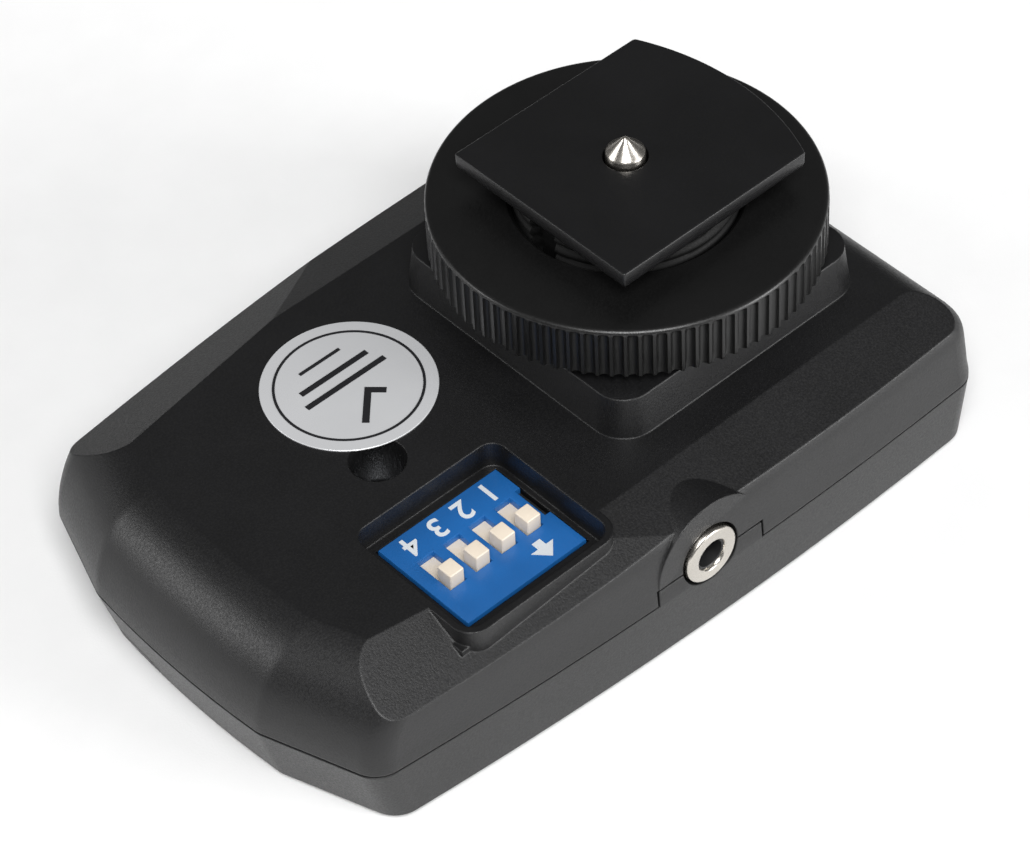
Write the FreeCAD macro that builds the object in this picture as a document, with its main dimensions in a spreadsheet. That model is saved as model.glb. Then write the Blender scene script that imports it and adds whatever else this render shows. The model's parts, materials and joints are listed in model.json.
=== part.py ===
"""Wireless flash trigger, built as the pieces it comes apart into.

Frame: millimetres, +Z up. The unit lies on its flat front face (the side with the test
button) at z = 0, with its hot-shoe foot up. +X runs along the case towards the shoe end,
+Y across it; the sync socket is in the -Y wall. The origin is the middle of the resting
face's outline box.
"""
import FreeCAD, Part
import math
import os

import Sketcher

doc = FreeCAD.newDocument("flash_trigger")
Vec = FreeCAD.Vector

# ---------------------------------------------------------------- driving dimensions (mm)
# A size in quotes is worked out from others in the sheet.
SIZES = {
    # case outline and heights
    "case_length": 64.5,
    "case_width": 43.0,
    "widest_at": 15.6,
    "side_bow_radius": "=case_length ^ 2 / 10.8",
    "nose_corner_back": 3.75,
    "nose_flat_back": 0.45,
    "nose_flat_width": 18.8,
    "corner_round": 2.5,
    "parting_height": 6.4,
    "top_height": "=2 * cell_radius + 3.9",
    "side_draft": 0.5,
    "nose_draft": 6.0,
    "nose_lean": 80.0,
    "tail_draft": 0.9,
    "foot_side_draft": 0.4,
    "foot_nose_draft": 1.6,
    "band_inner_y": "=case_width / 2 - 5.4",
    "band_slope": 0.38,
    "corner_start": 1.0,
    "corner_slope": 0.52,
    "corner_fall": 0.083,
    "tail_round": 3.0,
    "seam_height": 0.2,
    "seam_depth": 0.5,
    "foot_bevel": 0.5,
    "wall": 1.8,
    "roof": 1.6,
    "floor": 1.6,
    # pedestal, shoe foot and lock ring
    "post_x": 14.5,
    "pedestal_width": 26.0,
    "pedestal_round": 3.0,
    "pedestal_height": 3.6,
    "pedestal_taper": 8.0,
    "plate_width": 18.6,
    "plate_back": 9.0,
    "plate_front": 9.8,
    "plate_bulge": 2.1,
    "plate_thickness": 1.6,
    "plate_top": "=top_height + 12.9",
    "plate_edge": 0.2,
    "post_radius": 8.8,
    "keyway_width": 2.4,
    "keyway_depth": 0.9,
    "spigot_radius": 4.5,
    "spigot_drop": 4.2,
    "ring_radius": 15.4,
    "ring_height": 4.7,
    "ring_bottom": "=top_height + 4.7",
    "ring_edge": 0.5,
    "flute_count": 90,
    "flute_radius": 0.42,
    "flute_depth": 0.42,
    "washer_radius": 12.0,
    "washer_thickness": 0.5,
    "foot_screw_offset": 6.6,
    "foot_screw_radius": 0.9,
    "foot_screw_length": 5.0,
    # shoe contact
    "pin_radius": 1.55,
    "pin_cone": 1.4,
    "pin_stand": 0.5,
    "pin_length": 4.2,
    "pin_tail_radius": 1.1,
    "pin_tail": 1.6,
    "pin_flange_radius": 2.2,
    "pin_flange": 0.8,
    "spring_wire": 0.36,
    "spring_turns": 5.0,
    "spring_length": 4.0,
    "terminal_thickness": 0.6,
    "terminal_tail": 3.2,
    # channel switch bank
    "dip_x": -11.0,
    "dip_y": "=10.45 - case_width / 2",
    "dip_length": 11.7,
    "dip_width": 9.9,
    "dip_top": "=top_height - 2.2",
    "dip_cover": 0.6,
    "dip_standoff": 0.2,
    "dip_row": 7.62,
    "dip_pitch": 2.54,
    "slot_front": 1.65,
    "slot_width": 1.6,
    "slot_length": 3.7,
    "knob_width": 1.35,
    "knob_length": 1.5,
    "knob_height": 1.25,
    "slider_base": 0.9,
    "slider_base_width": 1.9,
    "slider_base_front": 0.4,
    "slider_base_back": 2.2,
    "slider_travel": 2.0,
    "dip_leg_radius": 0.26,
    "dip_leg_hole": 0.4,
    "dip_leg_drop": 2.6,
    "window_x": -11.5,
    "window_y": "=9.8 - case_width / 2",
    "window_length": 14.0,
    "window_width": 13.0,
    "window_round": 1.3,
    "window_depth": 2.4,
    "window_lip": 0.6,
    # case screw and label
    "screw_x": -12.1,
    "screw_y": -0.8,
    "screw_well_radius": 2.25,
    "screw_head_radius": 1.9,
    "screw_head": 1.3,
    "screw_radius": 1.0,
    "screw_seat": 8.0,
    "screw_length": 6.2,
    "screw_wall": 1.0,
    "sticker_x": -8.6,
    "sticker_y": 6.5,
    "sticker_radius": 6.85,
    "sticker_thickness": 0.1,
    # sync socket
    "jack_x": 2.6,
    "jack_z": 8.4,
    "jack_bore": 1.25,
    "bush_radius": 2.5,
    "bush_clearance": 0.25,
    "bush_face": "=case_width / 2 - 0.1",
    "bush_length": 3.0,
    "jack_body_width": 6.0,
    "jack_body_length": 9.5,
    "jack_body_height": 5.0,
    "jack_body_bore": 1.75,
    "jack_end_wall": 1.0,
    "lug_inset": 2.0,
    "lug_pitch": 4.0,
    "lug_width": 1.2,
    "lug_reach": 1.0,
    "tip_spring_length": 4.5,
    "tip_spring_setback": 1.5,
    "arch_radius": 5.15,
    "tongue_top": 8.0,
    # circuit board and parts
    "board_top": 5.9,
    "board_thickness": 1.2,
    "board_back": 10.2,
    "board_front": 3.8,
    "board_side": 4.5,
    "board_edge_y": "=cell_y - cell_radius - 1.55",
    "chip_x": 14.2,
    "chip_y": -0.3,
    "chip_length": 11.5,
    "chip_width": 7.5,
    "chip_height": 2.3,
    "chip_pitch": 1.27,
    "chip_leads": 9,
    "lead_width": 0.4,
    "lead_reach": 1.0,
    "chip_part_length": 2.0,
    "chip_part_width": 1.25,
    "row_pitch": 2.2,
    "resistor_start": -8.0,
    "resistor_y": "=board_edge_y - 1.3",
    "resistor_height": 0.5,
    "capacitor_start": -3.2,
    "capacitor_y": -2.2,
    "capacitor_height": 0.9,
    "transistor_length": 2.9,
    "transistor_width": 1.3,
    "transistor_height": 1.1,
    "saw_x": 23.4,
    "saw_radius": 4.6,
    "saw_height": 3.2,
    "antenna_radius": 2.4,
    "antenna_wire": 0.7,
    "antenna_length": 13.0,
    "antenna_turns": 9.0,
    "antenna_setback": 4.0,
    # test button and lamp
    "button_x": 16.0,
    "button_y": -9.0,
    "button_radius": 4.0,
    "button_recess": 0.25,
    "button_flange": 0.8,
    "button_travel": 0.4,
    "tact_size": 6.0,
    "tact_height": 1.9,
    "plunger_radius": 1.6,
    "plunger_height": 0.8,
    "plunger_reach": 0.4,
    "lamp_x": 26.0,
    "lamp_radius": 1.5,
    "lamp_collar": 1.875,
    "lamp_collar_height": 1.0,
    "lamp_dome": 0.45,
    "lamp_tip": 1.05,
    # battery bay
    "cell_radius": 5.15,
    "cell_length": 28.5,
    "cell_x": -6.0,
    "cell_y": "=case_width / 2 - cell_radius - 4.75",
    "cell_z": "=cell_radius + 1.95",
    "cell_nub_radius": 1.6,
    "cell_nub": 1.0,
    "contact_thickness": 0.4,
    "battery_spring_length": 4.5,
    "battery_spring_turns": 3.5,
    "battery_spring_radius": 3.09,
    "battery_spring_wire": 0.6,
    "battery_plate_size": 7.21,
    "rib": 0.9,
    "bay_clearance": 0.35,
    "door_width": "=2 * cell_radius + 2.7",
    "door_end_x": 12.0,
    "door_tongue": 0.7,
    # running gaps
    "slide_gap": 0.15,
    "thread_gap": 0.08,
    "press_gap": 0.02,
    "pin_gap": 0.07,
    "overrun": 1.0,
}

sheet = doc.addObject("Spreadsheet::Sheet", "Sizes")
for row, alias in enumerate(SIZES, start=1):
    sheet.set(f"A{row}", alias)
    sheet.setAlias(f"B{row}", alias)
for row, number in enumerate(SIZES.values(), start=1):
    sheet.set(f"B{row}", str(number))
doc.recompute()


class Dim:
    """A size with its value and the sheet expression that gives it."""

    def __init__(self, value, text=None):
        self.value = float(value)
        self.text = text or repr(self.value)

    def join(self, other, sign, value):
        return Dim(value, f"({self.text} {sign} {other.text})")

    def __add__(self, other):
        other = dim(other)
        return self.join(other, "+", self.value + other.value)

    def __sub__(self, other):
        other = dim(other)
        return self.join(other, "-", self.value - other.value)

    def __mul__(self, other):
        other = dim(other)
        return self.join(other, "*", self.value * other.value)

    def __truediv__(self, other):
        other = dim(other)
        return self.join(other, "/", self.value / other.value)

    def __radd__(self, other):
        return dim(other) + self

    def __rsub__(self, other):
        return dim(other) - self

    def __rmul__(self, other):
        return dim(other) * self

    def __neg__(self):
        return Dim(-self.value, f"(-{self.text})")


def dim(number):
    """A plain number as a Dim; a Dim as itself."""
    return number if isinstance(number, Dim) else Dim(number)


class SheetSizes:
    """Reads a size from the spreadsheet: size.wall is the cell with the alias wall."""

    def __getattr__(self, alias):
        return Dim(sheet.get(alias), f"Sizes.{alias}")


size = SheetSizes()
nodes = {}
PLANES = {"XY": "XY_Plane", "XZ": "XZ_Plane", "YZ": "YZ_Plane"}
AXIS_ROTATIONS = {
    "X": FreeCAD.Rotation(Vec(0, 1, 0), 90),
    "Y": FreeCAD.Rotation(Vec(1, 0, 0), -90),
    "Z": FreeCAD.Rotation(),
}


# ------------------------------------------------------------------- helpers: Part objects
def bind(thing, **sizes):
    """Set properties of an object from the sheet; place_x stands for Placement.Base.x."""
    for prop, number in sizes.items():
        path = prop.replace("place_", "Placement.Base.")
        thing.setExpression(path, dim(number).text)


def node(label, thing):
    """Give a finished piece its name and list it for export."""
    thing.Label = label
    nodes[label] = thing
    return thing


def box(name, x, y, z):
    """A box from three (low, high) spans."""
    made = doc.addObject("Part::Box", name)
    bind(made, Length=x[1] - x[0], Width=y[1] - y[0], Height=z[1] - z[0])
    bind(made, place_x=x[0], place_y=y[0], place_z=z[0])
    return made


def rod(name, radius, length, at, axis="Z"):
    """A cylinder that starts at a point and runs along +X, +Y or +Z."""
    made = doc.addObject("Part::Cylinder", name)
    made.Placement = FreeCAD.Placement(Vec(), AXIS_ROTATIONS[axis])
    bind(made, Radius=radius, Height=length)
    bind(made, place_x=at[0], place_y=at[1], place_z=at[2])
    return made


def fuse(name, *pieces):
    """One solid from pieces that touch or overlap."""
    made = doc.addObject("Part::MultiFuse", name)
    made.Shapes = list(pieces)
    made.Refine = True
    return made


def cut(name, base, *tools):
    """The base with every tool taken away."""
    made = doc.addObject("Part::Cut", name)
    made.Base = base
    made.Tool = tools[0] if len(tools) == 1 else fuse(name + "_tools", *tools)
    made.Refine = True
    return made


def overlap(name, first, second):
    """What two solids share."""
    made = doc.addObject("Part::Common", name)
    made.Base = first
    made.Tool = second
    made.Refine = True
    return made


def group(name, pieces):
    """Separate solids kept together as one node."""
    made = doc.addObject("Part::Compound", name)
    made.Links = list(pieces)
    return made


def around(centre, width):
    """The span of a width centred on a place."""
    return (centre - width / 2, centre + width / 2)


# ------------------------------------------------------------- helpers: PartDesign features
def new_body(name):
    return doc.addObject("PartDesign::Body", name)


def sketch_on(body, name, plane="XY", offset=0):
    """A sketch on one of the body's own origin planes, shifted along its normal."""
    made = body.newObject("Sketcher::SketchObject", name)
    flats = body.Origin.OriginFeatures
    made.AttachmentSupport = [(next(f for f in flats if f.Role == PLANES[plane]), "")]
    made.MapMode = "FlatFace"
    made.setExpression("AttachmentOffset.Base.z", dim(offset).text)
    return made


def pin_point(sketch, index, end, x, y):
    """Hold one sketch point at x, y from the origin, with sizes from the sheet."""
    for kind, flat, number in (("DistanceX", "Vertical", x), ("DistanceY", "Horizontal", y)):
        number = dim(number)
        if abs(number.value) < 1e-9:
            sketch.addConstraint(Sketcher.Constraint(flat, -1, 1, index, end))
        else:
            rule = Sketcher.Constraint(kind, -1, 1, index, end, number.value)
            sketch.setExpression(f"Constraints[{sketch.addConstraint(rule)}]", number.text)


def polygon(sketch, corners):
    """A closed outline of straight lines through (x, y) corners."""
    points = [Vec(dim(x).value, dim(y).value, 0) for x, y in corners]
    first = sketch.GeometryCount
    count = len(points)
    for k in range(count):
        sketch.addGeometry(Part.LineSegment(points[k], points[(k + 1) % count]), False)
    for k in range(count):
        following = first + (k + 1) % count
        sketch.addConstraint(Sketcher.Constraint("Coincident", first + k, 2, following, 1))
        pin_point(sketch, first + k, 1, *corners[k])


def circle(sketch, x, y, radius):
    """A circle with its centre and radius from the sheet."""
    centre = Vec(dim(x).value, dim(y).value, 0)
    index = sketch.addGeometry(Part.Circle(centre, Vec(0, 0, 1), dim(radius).value), False)
    rule = Sketcher.Constraint("Radius", index, dim(radius).value)
    sketch.setExpression(f"Constraints[{sketch.addConstraint(rule)}]", dim(radius).text)
    pin_point(sketch, index, 3, x, y)


def trace(sketch, wire):
    """Copy a flat wire of lines and arcs into a sketch."""
    for edge in wire.OrderedEdges:
        if isinstance(edge.Curve, Part.Circle):
            ends = edge.ParameterRange
            curve = Part.ArcOfCircle(edge.Curve, ends[0], ends[1])
        else:
            curve = Part.LineSegment(edge.Vertexes[0].Point, edge.Vertexes[-1].Point)
        sketch.addGeometry(curve, False)


def pad(body, sketch, length, reverse=False):
    made = body.newObject("PartDesign::Pad", sketch.Name + "_pad")
    made.Profile = sketch
    made.Reversed = reverse
    bind(made, Length=length)
    return made


def pocket(body, sketch, length, reverse=False):
    made = body.newObject("PartDesign::Pocket", sketch.Name + "_pocket")
    made.Profile = sketch
    made.Reversed = reverse
    bind(made, Length=length)
    return made


def pocket_both_ways(body, sketch):
    made = body.newObject("PartDesign::Pocket", sketch.Name + "_pocket")
    made.Profile = sketch
    made.Type = "ThroughAll"
    made.Midplane = True
    return made


def loft(body, first, *others):
    made = body.newObject("PartDesign::AdditiveLoft", first.Name + "_loft")
    made.Profile = first
    made.Sections = list(others)
    made.Ruled = True
    return made


def turned(label, profile, x, y, z):
    """A body of revolution about a vertical axis; the profile is (radius, height) corners."""
    body = new_body(label)
    sketch = sketch_on(body, label + "_profile", "XZ")
    polygon(sketch, profile)
    made = body.newObject("PartDesign::Revolution", label + "_turn")
    made.Profile = sketch
    made.ReferenceAxis = (sketch, ["V_Axis"])
    made.Angle = 360
    bind(body, place_x=x, place_y=y, place_z=z)
    return body


def soften(body, base, radius, wanted):
    """Round the edges of a feature that the wanted test picks."""
    doc.recompute()
    names = [f"Edge{k}" for k, edge in enumerate(base.Shape.Edges, start=1) if wanted(edge)]
    made = body.newObject("PartDesign::Fillet", base.Name + "_round")
    made.Base = (base, names)
    bind(made, Radius=radius)
    return made


# ------------------------------------------------------------------ the case as one outline
half_length = size.case_length / 2
half_width = size.case_width / 2


def side_y(x, inset):
    """Half width of the bowed case at x."""
    radius = size.side_bow_radius.value
    along = x - size.widest_at.value
    return half_width.value - inset - radius + math.sqrt(radius ** 2 - along ** 2)


def case_outline(side=0.0, nose=0.0, tail=0.0, shrink=0.0):
    """The case seen from above, drawn in at its sides, nose (-X) and tail (+X)."""
    tip = nose - half_length.value
    corner_x = tip + size.nose_corner_back.value
    flat_x = tip + size.nose_flat_back.value
    flat_y = size.nose_flat_width.value / 2
    tail_x = half_length.value - tail
    middle_x = (corner_x + tail_x) / 2
    tail_y = side_y(tail_x, side)
    corner_y = side_y(corner_x, side)
    middle_y = side_y(middle_x, side)
    edges = [
        Part.LineSegment(Vec(tail_x, -tail_y, 0), Vec(tail_x, tail_y, 0)),
        Part.Arc(Vec(tail_x, tail_y, 0), Vec(middle_x, middle_y, 0), Vec(corner_x, corner_y, 0)),
        Part.LineSegment(Vec(corner_x, corner_y, 0), Vec(flat_x, flat_y, 0)),
        Part.Arc(Vec(flat_x, flat_y, 0), Vec(tip, 0, 0), Vec(flat_x, -flat_y, 0)),
        Part.LineSegment(Vec(flat_x, -flat_y, 0), Vec(corner_x, -corner_y, 0)),
        Part.Arc(Vec(corner_x, -corner_y, 0), Vec(middle_x, -middle_y, 0), Vec(tail_x, -tail_y, 0)),
    ]
    wire = Part.Wire([edge.toShape() for edge in edges])
    rounding = size.corner_round.value
    inner = wire.makeOffset2D(-rounding - shrink, join=2)
    return inner.makeOffset2D(rounding, join=0)


def rounded_rectangle(x_span, y_span, radius):
    """A wire round a rectangle with arcs at its corners."""
    r = dim(radius).value
    low_x, high_x = (dim(end).value for end in x_span)
    low_y, high_y = (dim(end).value for end in y_span)
    corners = [
        Vec(low_x + r, low_y + r, 0),
        Vec(high_x - r, low_y + r, 0),
        Vec(high_x - r, high_y - r, 0),
        Vec(low_x + r, high_y - r, 0),
    ]
    inner = Part.makePolygon(corners + corners[:1])
    return inner.makeOffset2D(r, join=0)


# ------------------------------------------------------------------------- case envelope
plate_bottom = size.plate_top - size.plate_thickness
pedestal_top = size.top_height + size.pedestal_height
window_x = around(size.window_x, size.window_length)
window_y = around(size.window_y, size.window_width)
window_floor = size.top_height - size.window_depth
board_bottom = size.board_top - size.board_thickness
cavity_roof = size.top_height - size.roof
bush_hole = size.bush_radius + size.bush_clearance
cell_back_x = size.cell_x - size.cell_length / 2
cell_front_x = size.cell_x + size.cell_length / 2
bay_back_x = cell_back_x - size.battery_spring_length
bay_front_x = cell_front_x + size.contact_thickness + size.slide_gap
bay_low_y = size.cell_y - size.cell_radius - size.bay_clearance


upper_steps = 10


def upper_curve(part):
    """Height, share of the draft, nose set-back and rounding for a part of the way up."""
    rise = size.top_height - size.parting_height
    turn = part * math.pi / 2
    lift = math.sin(turn)
    height = size.parting_height + rise * lift
    lean = math.radians(size.nose_lean.value)
    back = (1 - math.cos(math.asin(lift * math.sin(lean)))) / (1 - math.cos(lean))
    above = max(0, size.tail_round.value - (1 - lift) * rise.value)
    shrink = size.tail_round.value - math.sqrt(size.tail_round.value ** 2 - above ** 2)
    return height, lift, size.nose_draft.value * back - shrink, shrink


def make_case_outer():
    """Outside of the closed case, both shells together, with pedestal and window lip."""
    body = new_body("case_outer")
    side = size.foot_side_draft.value
    nose = size.foot_nose_draft.value
    foot = sketch_on(body, "foot_line", "XY", 0)
    trace(foot, case_outline(side, nose, side, shrink=size.foot_bevel.value))
    bevel = sketch_on(body, "bevel_line", "XY", size.foot_bevel)
    trace(bevel, case_outline(side, nose, side))
    parting = sketch_on(body, "parting_line", "XY", size.parting_height)
    trace(parting, case_outline())
    loft(body, foot, bevel, parting)
    levels = []
    for step in range(upper_steps + 1):
        height, draft, back, shrink = upper_curve(step / upper_steps)
        line = sketch_on(body, f"upper_line_{step}", "XY", height)
        trace(line, case_outline(size.side_draft.value * draft, back,
                                 size.tail_draft.value * draft, shrink))
        levels.append(line)
    upper = loft(body, *levels)
    upper.Ruled = False
    for side in (1, -1):
        band = sketch_on(body, f"band_{side + 1}", "YZ")
        inner = size.band_inner_y
        outer = half_width + size.overrun
        drop = size.band_slope * (outer - inner)
        polygon(band, [
            (inner * side, size.top_height),
            (outer * side, size.top_height - drop),
            (outer * side, size.top_height + size.overrun),
            (inner * side, size.top_height + size.overrun),
        ])
        pocket_both_ways(body, band)
        facet = body.newObject("PartDesign::SubtractiveLoft", f"nose_corner_{side + 1}")
        profiles = []
        for end, x in (("front", size.corner_start), ("back", -half_length - size.overrun)):
            profile = sketch_on(body, f"nose_corner_{end}_{side + 1}", "YZ", x)
            edge_z = (size.top_height - size.band_slope * (half_width - size.band_inner_y)
                      - size.corner_fall * (size.corner_start - x))
            over = size.top_height + size.overrun
            polygon(profile, [
                ((half_width - (over - edge_z) / size.corner_slope) * side, over),
                (outer * side, edge_z - size.corner_slope * size.overrun),
                (outer * side, over),
            ])
            profiles.append(profile)
        facet.Profile = profiles[0]
        facet.Sections = profiles[1:]
        facet.Ruled = True
    lip = sketch_on(body, "window_lip", "XY", size.top_height)
    grow = size.window_lip
    spans = [(span[0] - grow, span[1] + grow) for span in (window_x, window_y)]
    trace(lip, rounded_rectangle(*spans, size.window_round + grow))
    pad(body, lip, size.window_depth, reverse=True)
    pedestal = sketch_on(body, "pedestal", "XY", size.top_height)
    spans = (around(size.post_x, size.pedestal_width), around(dim(0), size.pedestal_width))
    trace(pedestal, rounded_rectangle(*spans, size.pedestal_round))
    raised = pad(body, pedestal, size.pedestal_height)
    bind(raised, TaperAngle=-size.pedestal_taper)
    arch = sketch_on(body, "jack_arch", "XZ", size.band_inner_y)
    circle(arch, size.jack_x, size.jack_z, size.arch_radius)
    pad(body, arch, half_width - size.side_draft - size.band_inner_y)
    return body


def make_case_cavity():
    """Hollow of the closed case."""
    body = new_body("case_cavity")
    wall = size.wall.value
    low = sketch_on(body, "cavity_floor", "XY", size.floor)
    trace(low, case_outline(size.foot_side_draft.value, size.foot_nose_draft.value,
                            size.tail_draft.value, shrink=wall))
    ridge = size.top_height - size.band_slope * (half_width - size.band_inner_y) - size.roof
    pad(body, low, ridge - size.floor)
    high = sketch_on(body, "cavity_roof", "XY", size.parting_height)
    back = size.nose_draft + size.roof - half_length
    front = half_length - size.tail_draft - size.wall - size.tail_round
    reach = size.band_inner_y - size.side_draft
    polygon(high, [(back, -reach), (front, -reach), (front, reach), (back, reach)])
    pad(body, high, cavity_roof - size.parting_height)
    hollow = sketch_on(body, "pedestal_hollow", "XY", size.parting_height)
    inner = size.pedestal_width - 2 * size.wall - 2
    spans = (around(size.post_x, inner), around(dim(0), inner))
    trace(hollow, rounded_rectangle(*spans, size.pedestal_round))
    pad(body, hollow, pedestal_top - size.roof - size.parting_height)
    return body


def make_lower_region():
    """Everything below the parting line, with the tongue under the sync socket."""
    reach = half_length + size.overrun
    below = box("below_parting", (-reach, reach), (-reach, reach), (-size.overrun, size.parting_height))
    tongue = box("tongue_region", around(size.jack_x, size.arch_radius * 2),
                 (-reach, -half_width + size.wall * 2), (dim(0), size.tongue_top))
    return fuse("lower_region", below, tongue)


def make_seam():
    """Groove along the parting line and round the tongue, open to the outside."""
    reach = half_length + size.overrun
    high = size.seam_height
    slab = box("seam_slab", (-reach, reach), (-reach, reach),
               (size.parting_height - high, size.parting_height + high))
    bump = box("seam_bump", around(size.jack_x, (size.arch_radius + high) * 2),
               (-reach, size.seam_depth * 3 - half_width), (size.parting_height, size.tongue_top + high))
    core_body = new_body("seam_core")
    core = sketch_on(core_body, "seam_core_line", "XY", dim(0))
    trace(core, case_outline(shrink=size.seam_depth.value))
    pad(core_body, core, size.top_height)
    return cut("seam", fuse("seam_blank", slab, bump), core_body)


case_skin = cut("case_skin", make_case_outer(), make_case_cavity())
lower_region = make_lower_region()
seam = make_seam()


# ------------------------------------------------------------------------------ base shell
def make_base_shell():
    """Upper shell: roof, pedestal, switch window, screw well and half the socket hole."""
    skin = cut("upper_skin", case_skin, lower_region)
    tray_grow = size.wall / 2
    tray = box("window_tray", (window_x[0] - tray_grow, window_x[1] + tray_grow),
               (window_y[0], window_y[1] + tray_grow),
               (window_floor - size.wall / 2, cavity_roof + size.slide_gap))
    well_top = cavity_roof + size.slide_gap
    well_radius = size.screw_well_radius + size.screw_wall
    well_base = size.screw_seat - size.screw_wall
    well = rod("screw_well", well_radius, well_top - well_base,
               (size.screw_x, size.screw_y, well_base))
    window = new_body("window_cut")
    outline = sketch_on(window, "window_outline", "XY", window_floor)
    trace(outline, rounded_rectangle(window_x, window_y, size.window_round))
    pad(window, outline, size.window_depth + size.overrun)
    gap = size.slide_gap * 2
    opening = box("dip_opening", around(size.dip_x, size.dip_length + gap),
                  around(size.dip_y, size.dip_width + gap),
                  (window_floor - size.wall, window_floor + size.overrun))
    counterbore = rod("screw_counterbore", size.screw_well_radius,
                      size.top_height + size.overrun - size.screw_seat,
                      (size.screw_x, size.screw_y, size.screw_seat))
    passage = rod("screw_passage", size.screw_radius + size.slide_gap, size.screw_seat,
                  (size.screw_x, size.screw_y, dim(0)))
    socket = rod("socket_hole", bush_hole, size.wall * 3,
                 (size.jack_x, -half_width - size.overrun, size.jack_z), "Y")
    relief = box("socket_relief", around(size.jack_x, size.jack_body_width + gap),
                 (size.bush_length - size.bush_face, -size.band_inner_y + size.overrun),
                 (size.board_top, size.board_top + size.jack_body_height + size.slide_gap))
    spigot = rod("spigot_hole", size.spigot_radius + size.press_gap, size.pedestal_height * 2,
                 (size.post_x, dim(0), cavity_roof - size.overrun))
    drills = [
        rod(f"foot_screw_hole_{side + 1}", size.foot_screw_radius + size.press_gap,
            size.pedestal_height * 2, (size.post_x, size.foot_screw_offset * side, cavity_roof))
        for side in (1, -1)
    ]
    rib_z = (size.floor + size.wall / 3, cavity_roof + size.slide_gap)
    rib = size.rib
    bay_y = (bay_low_y, size.band_inner_y - size.side_draft)
    side_rib = box("bay_side_rib", (bay_back_x - rib, bay_front_x + rib),
                   (bay_low_y - rib, bay_low_y), rib_z)
    back_rib = box("bay_back_rib", (bay_back_x - rib, bay_back_x), bay_y, rib_z)
    front_rib = box("bay_front_rib", (bay_front_x, bay_front_x + rib), bay_y, rib_z)
    solid = fuse("base_solid", skin, tray, well, side_rib, back_rib, front_rib)
    return cut("base_cut", solid, window, opening, counterbore, passage, socket, relief,
               spigot, seam, *drills)


node("base_shell", make_base_shell())


# ------------------------------------------------------------------ face shell and its door
post_radius = size.screw_radius + size.wall
well_base = size.screw_seat - size.screw_wall
door_y = around(size.cell_y, size.door_width)
far_x = half_length + size.overrun * 3
tongue_z = (size.floor / 3, size.floor * 2 / 3)


def make_face_shell():
    """Lower shell with the resting face: door opening, button and lamp holes, screw post."""
    skin = overlap("lower_skin", case_skin, lower_region)
    post = rod("screw_post", post_radius, well_base - size.floor / 2,
               (size.screw_x, size.screw_y, size.floor / 2))
    guide = rod("button_guide", size.button_radius + size.wall, size.floor,
                (size.button_x, size.button_y, dim(0)))
    solid = fuse("face_solid", skin, post, guide)
    gap = size.slide_gap
    opening = box("door_opening", (-far_x, size.door_end_x + gap),
                  (door_y[0] - gap, door_y[1] + gap), (dim(-1), size.floor))
    reach = size.door_tongue + gap
    groove = box("door_groove", (-far_x, size.door_end_x + gap),
                 (door_y[0] - reach, door_y[1] + reach), (tongue_z[0] - gap, tongue_z[1] + gap))
    pilot = rod("screw_pilot", size.screw_radius + size.press_gap, size.screw_seat,
                (size.screw_x, size.screw_y, size.floor))
    socket = rod("socket_half_hole", bush_hole, size.wall * 3,
                 (size.jack_x, -half_width - size.overrun, size.jack_z), "Y")
    button = rod("button_hole", size.button_radius + gap, size.floor * 3,
                 (size.button_x, size.button_y, dim(-1)))
    lamp = rod("lamp_hole", size.lamp_radius + gap, size.floor * 3,
               (size.lamp_x, size.button_y, dim(-1)))
    relief = box("tongue_relief", around(size.jack_x, size.jack_body_width + gap * 2),
                 (size.bush_length - size.bush_face, dim(0)),
                 (size.board_top, size.screw_seat + size.wall))
    return cut("face_cut", solid, opening, groove, pilot, socket, button, lamp, relief)


def make_battery_door():
    """Flat door that slides off towards the nose, with a tongue along each side."""
    gap = size.slide_gap
    slab = box("door_slab", (-far_x, size.door_end_x), door_y, (dim(0), size.floor - gap))
    tongues = box("door_tongues", (-far_x, size.door_end_x),
                  (door_y[0] - size.door_tongue, door_y[1] + size.door_tongue), tongue_z)
    blank = fuse("door_blank", slab, tongues)
    return overlap("door_trimmed", blank, doc.getObject("case_outer"))


node("face_shell", make_face_shell())
node("battery_door", make_battery_door())
node("case_screw", turned("case_screw_turned", [
    (dim(0), dim(0)),
    (size.screw_radius, dim(0)),
    (size.screw_radius, size.screw_length),
    (size.screw_head_radius, size.screw_length),
    (size.screw_head_radius, size.screw_length + size.screw_head),
    (dim(0), size.screw_length + size.screw_head),
], size.screw_x, size.screw_y, size.screw_seat - size.screw_length))
node("seal_sticker", rod("sticker_disc", size.sticker_radius, size.sticker_thickness,
                         (size.sticker_x, size.sticker_y, size.top_height)))


# --------------------------------------------------------------- shoe foot and its contact
pin_flange_top = size.plate_top - size.pin_length
spring_top = pin_flange_top - size.pin_flange
spring_bottom = spring_top - size.spring_length
pin_bore = size.pin_radius + size.pin_gap
spring_bore = size.pin_flange_radius + size.pin_gap
spigot_bottom = pedestal_top - size.spigot_drop


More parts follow.
